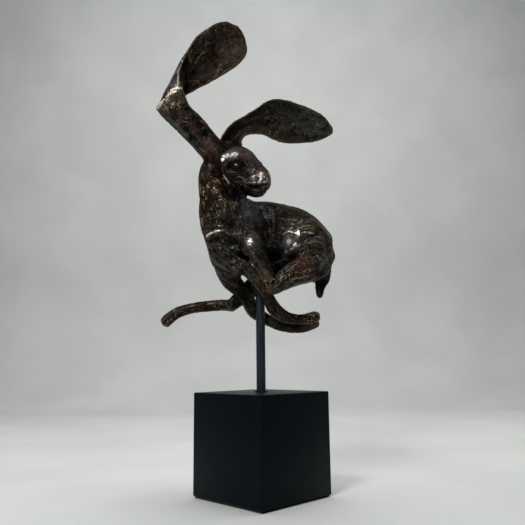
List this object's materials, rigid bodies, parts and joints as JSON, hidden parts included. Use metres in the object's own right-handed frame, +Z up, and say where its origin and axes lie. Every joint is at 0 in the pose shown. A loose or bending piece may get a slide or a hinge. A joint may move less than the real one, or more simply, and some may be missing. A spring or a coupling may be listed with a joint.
{
  "type": "hare sculpture",
  "caption": "Leaping bronze hare with its head turned back and long folded ears, held by a slim rod above a square black plinth.",
  "frame": {"origin": "middle of the plinth's underside, on the rod's axis", "axes": "+Z up along the rod, +X from the hare's chest to its rump, -Y towards the side where the hare's left flank and face are seen"},
  "size_m": [0.1874, 0.1336, 0.4893],
  "materials": {
    "bronze": "cast bronze with a near-black brown patina, rubbed to golden brown on the raised parts, waxed",
    "rod_steel": "blackened steel, satin",
    "plinth_lacquer": "wood block under black satin lacquer"
  },
  "bodies": {
    "root": {"hare": "bronze", "rod": "rod_steel", "plinth": "plinth_lacquer"}
  },
  "joints": []
}
